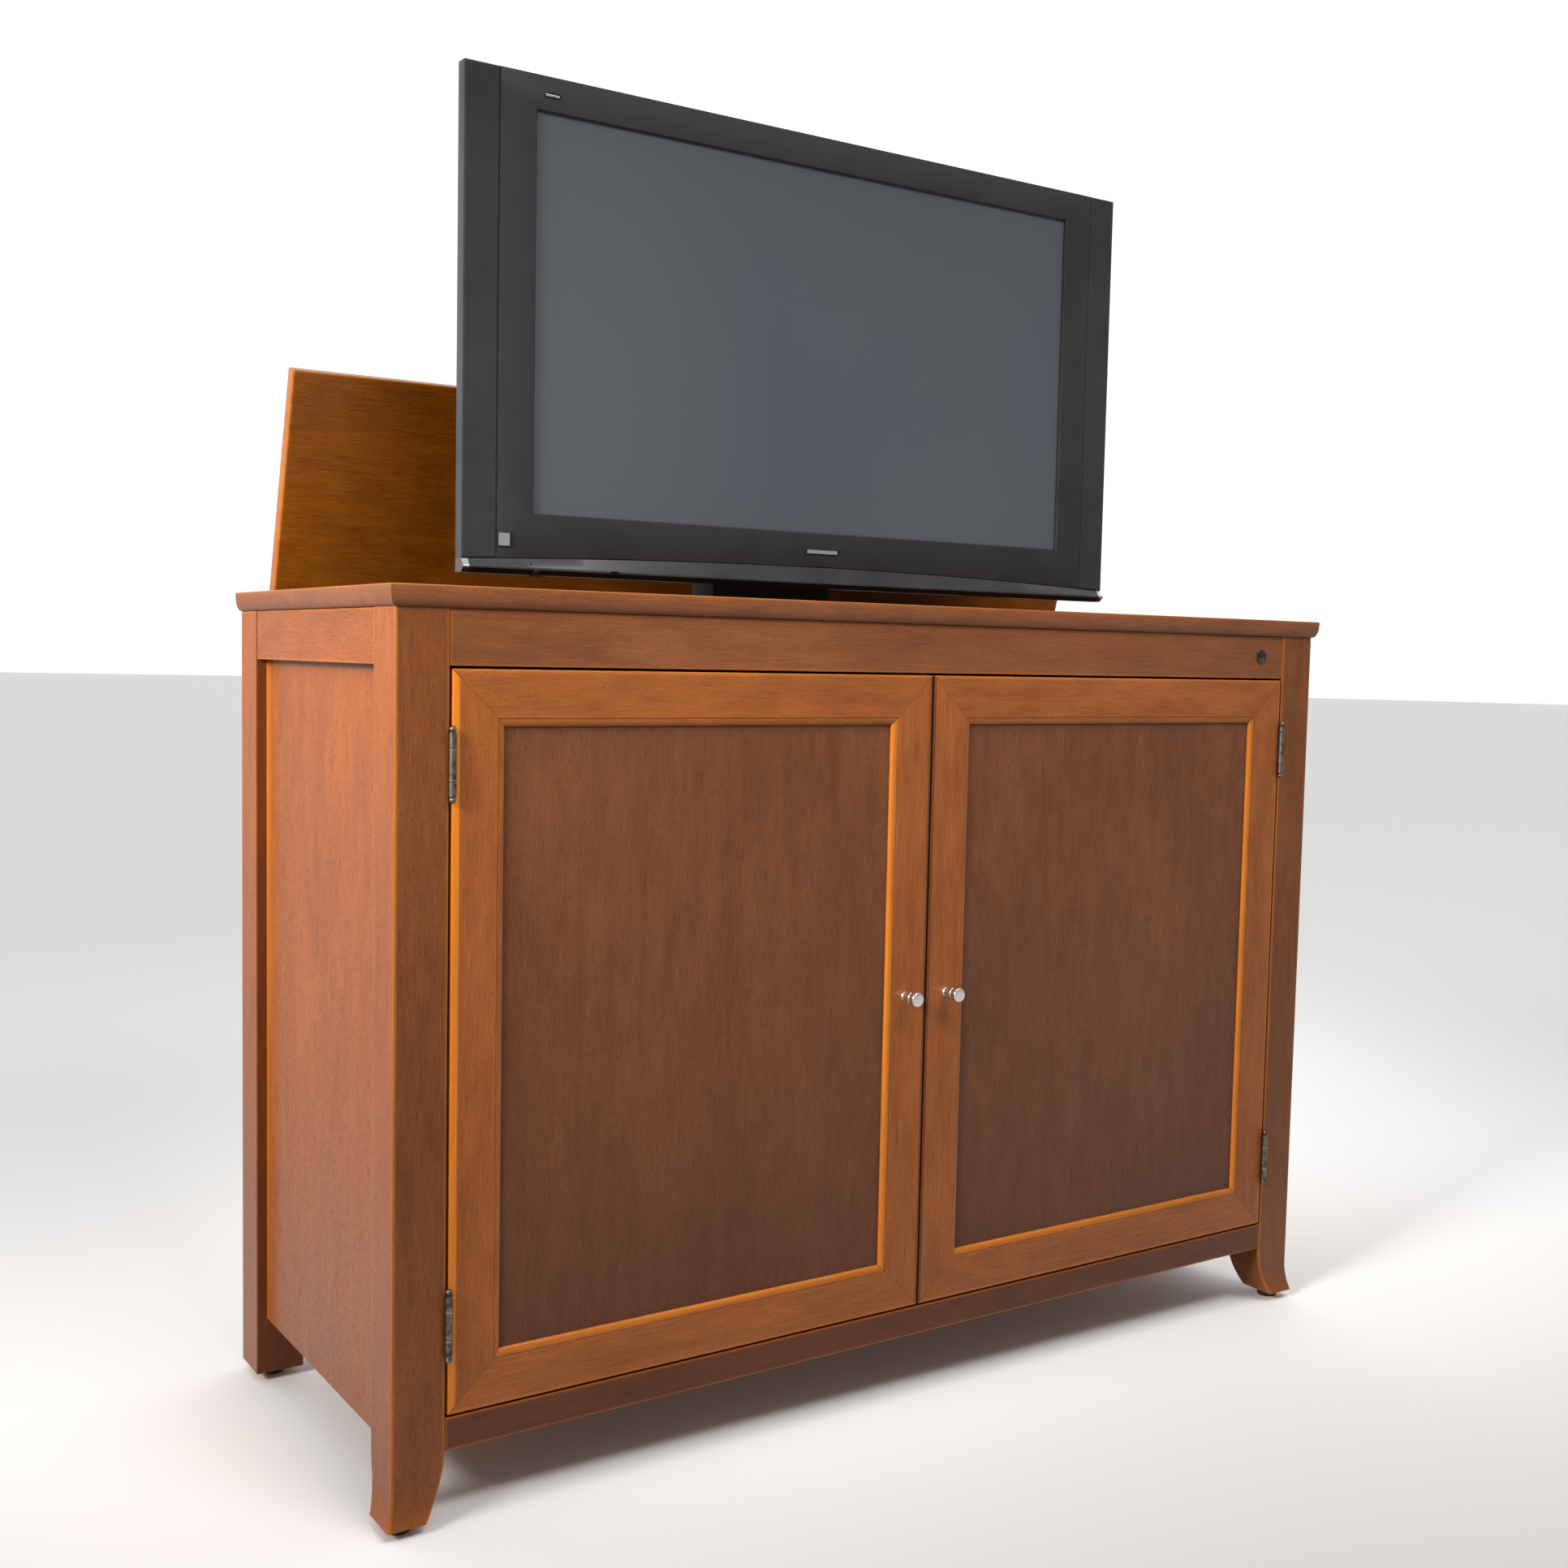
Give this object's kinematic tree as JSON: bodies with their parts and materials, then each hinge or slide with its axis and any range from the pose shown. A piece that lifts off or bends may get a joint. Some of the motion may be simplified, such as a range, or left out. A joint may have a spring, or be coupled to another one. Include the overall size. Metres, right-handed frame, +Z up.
{
  "type": "television lift cabinet",
  "caption": "Cherry-stained media cabinet with two panelled doors and a hinged rear lid, from which a motor lift raises a flat television.",
  "frame": {"origin": "on the floor, under the middle of the cabinet's body", "axes": "+X to the right along the front, the front faces -Y, +Z up"},
  "size_m": [1.53, 0.6125, 1.764],
  "materials": {
    "stained_cherry": "satin lacquer over reddish-brown stain",
    "cherry_veneer": "satin lacquer, upright grain",
    "dark_veneer": "satin lacquer, darker, upright grain",
    "inner_board": "stained veneer board",
    "antique_hinge": "antique pewter",
    "nickel": "satin nickel",
    "zinc_steel": "zinc plated",
    "black_glide": "moulded",
    "eye_lens": "polished dark lens",
    "black_steel": "satin black powder coat",
    "motor_casting": "dark grey enamel",
    "black_plastic": "fine moulded texture",
    "nut_bronze": "machined bronze",
    "charcoal_plastic": "satin charcoal",
    "speaker_cloth": "fine upright ribs",
    "screen_glass": "matte anti-glare slate grey",
    "display_glass": "sealed display module",
    "trim_gloss": "half gloss",
    "satin_aluminium": "satin"
  },
  "bodies": {
    "cabinet": {"adjustable_shelves": "inner_board", "back_left_leg": "stained_cherry", "back_panel": "inner_board", "back_right_leg": "stained_cherry", "back_top_rail": "stained_cherry", "bay_partition": "inner_board", "bottom_board": "inner_board", "door_hinge_post_leaves": "antique_hinge", "front_bottom_rail": "stained_cherry", "front_left_leg": "stained_cherry", "front_right_leg": "stained_cherry", "front_top_rail": "stained_cherry", "hinge_pins": "antique_hinge", "infrared_eye": "eye_lens", "left_side_panel": "cherry_veneer", "left_side_rail": "stained_cherry", "leg_glides": "black_glide", "lid_hinge_fixed_leaves": "zinc_steel", "lift_base_plate": "black_steel", "lift_control_box": "black_plastic", "lift_gear_motor": "motor_casting", "lift_outer_column": "black_steel", "magnetic_catches": "black_plastic", "right_side_panel": "cherry_veneer", "right_side_rail": "stained_cherry", "shelf_pins": "zinc_steel", "top_slab": "stained_cherry", "well_divider": "inner_board"},
    "left_door": {"left_door_bottom_rail": "stained_cherry", "left_door_hinge_leaves": "antique_hinge", "left_door_hinge_stile": "stained_cherry", "left_door_knob": "nickel", "left_door_meeting_stile": "stained_cherry", "left_door_panel": "dark_veneer", "left_door_strike_plate": "zinc_steel", "left_door_top_rail": "stained_cherry"},
    "right_door": {"right_door_bottom_rail": "stained_cherry", "right_door_hinge_leaves": "antique_hinge", "right_door_hinge_stile": "stained_cherry", "right_door_knob": "nickel", "right_door_meeting_stile": "stained_cherry", "right_door_panel": "dark_veneer", "right_door_strike_plate": "zinc_steel", "right_door_top_rail": "stained_cherry"},
    "lid": {"lid_board": "stained_cherry", "lid_hinge_moving_leaves": "zinc_steel"},
    "lift_screw": {"lift_screw": "zinc_steel"},
    "tv_carriage": {"lift_inner_column": "black_steel", "lift_drive_nut": "nut_bronze", "tv_mount_bracket": "black_steel", "lid_lifter_bar": "black_steel", "tv_display_panel": "display_glass", "tv_front_bezel": "charcoal_plastic", "tv_lower_trim": "trim_gloss", "tv_mains_inlet": "black_plastic", "tv_rear_cover": "black_plastic", "tv_screen_glass": "screen_glass", "tv_speaker_covers": "speaker_cloth", "tv_trim_caps": "satin_aluminium"},
    "power_button": {"tv_power_button": "trim_gloss"}
  },
  "joints": [
    {"name": "left_door_hinge", "type": "hinge", "parent": "cabinet", "child": "left_door", "pos_m": [-0.6905, -0.2915, 0.565], "axis": [0, 0, -1], "range_deg": [0, 160]},
    {"name": "right_door_hinge", "type": "hinge", "parent": "cabinet", "child": "right_door", "pos_m": [0.6905, -0.2915, 0.565], "axis": [0, 0, 1], "range_deg": [0, 160]},
    {"name": "lid_hinge", "type": "hinge", "parent": "cabinet", "child": "lid", "pos_m": [0, 0.291, 1.086], "axis": [-1, 0, 0], "range_deg": [0, 20]},
    {"name": "tv_lift", "type": "slide", "parent": "cabinet", "child": "tv_carriage", "axis": [0, 0, 1], "range_m": [-0.71, 0]},
    {"name": "lift_screw_spin", "type": "hinge", "parent": "cabinet", "child": "lift_screw", "pos_m": [0, 0.147, 0.5], "axis": [0, 0, 1], "range_deg": [-25560, 0]},
    {"name": "power_button_press", "type": "slide", "parent": "tv_carriage", "child": "power_button", "axis": [0, 0, 1], "range_m": [0, 0.0015], "stiffness_N_per_m": 400}
  ],
  "couplings": [
    {"joint": "lift_screw_spin", "follows": "tv_lift", "rad_per_m": 628.32}
  ]
}
